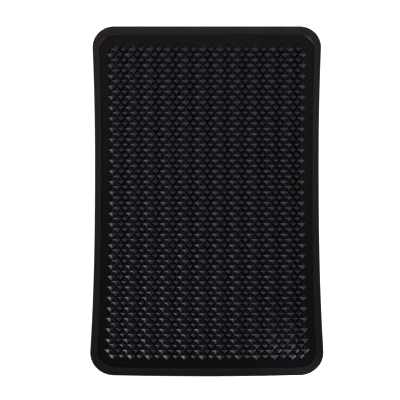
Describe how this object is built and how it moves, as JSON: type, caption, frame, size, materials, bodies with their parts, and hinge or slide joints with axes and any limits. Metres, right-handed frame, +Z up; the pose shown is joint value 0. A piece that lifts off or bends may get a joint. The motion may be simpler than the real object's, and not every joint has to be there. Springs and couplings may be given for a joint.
{
  "type": "snowboard stomp pad",
  "caption": "Waisted rectangular traction pad of moulded rubber, staggered pyramid studs inside a smooth rim, on foam tape with a peel-off release liner.",
  "frame": {"origin": "the middle of the footprint, on the underside of the release liner, which lies on the surface", "axes": "+Z up out of the studs, +Y along the pad's length towards its narrower end, +X across its width"},
  "size_m": [0.1, 0.15, 0.0044],
  "materials": {
    "pad_rubber": "satin",
    "tape_foam": "matte",
    "liner_paper": "satin"
  },
  "bodies": {
    "liner": {"release_liner": "liner_paper"},
    "pad": {"moulded_pad": "pad_rubber", "foam_tape": "tape_foam"}
  },
  "joints": [
    {"name": "liner_peel", "type": "hinge", "parent": "liner", "child": "pad", "pos_m": [0, -0.075, 0.00012], "axis": [1, 0, 0], "range_deg": [0, 80]}
  ]
}
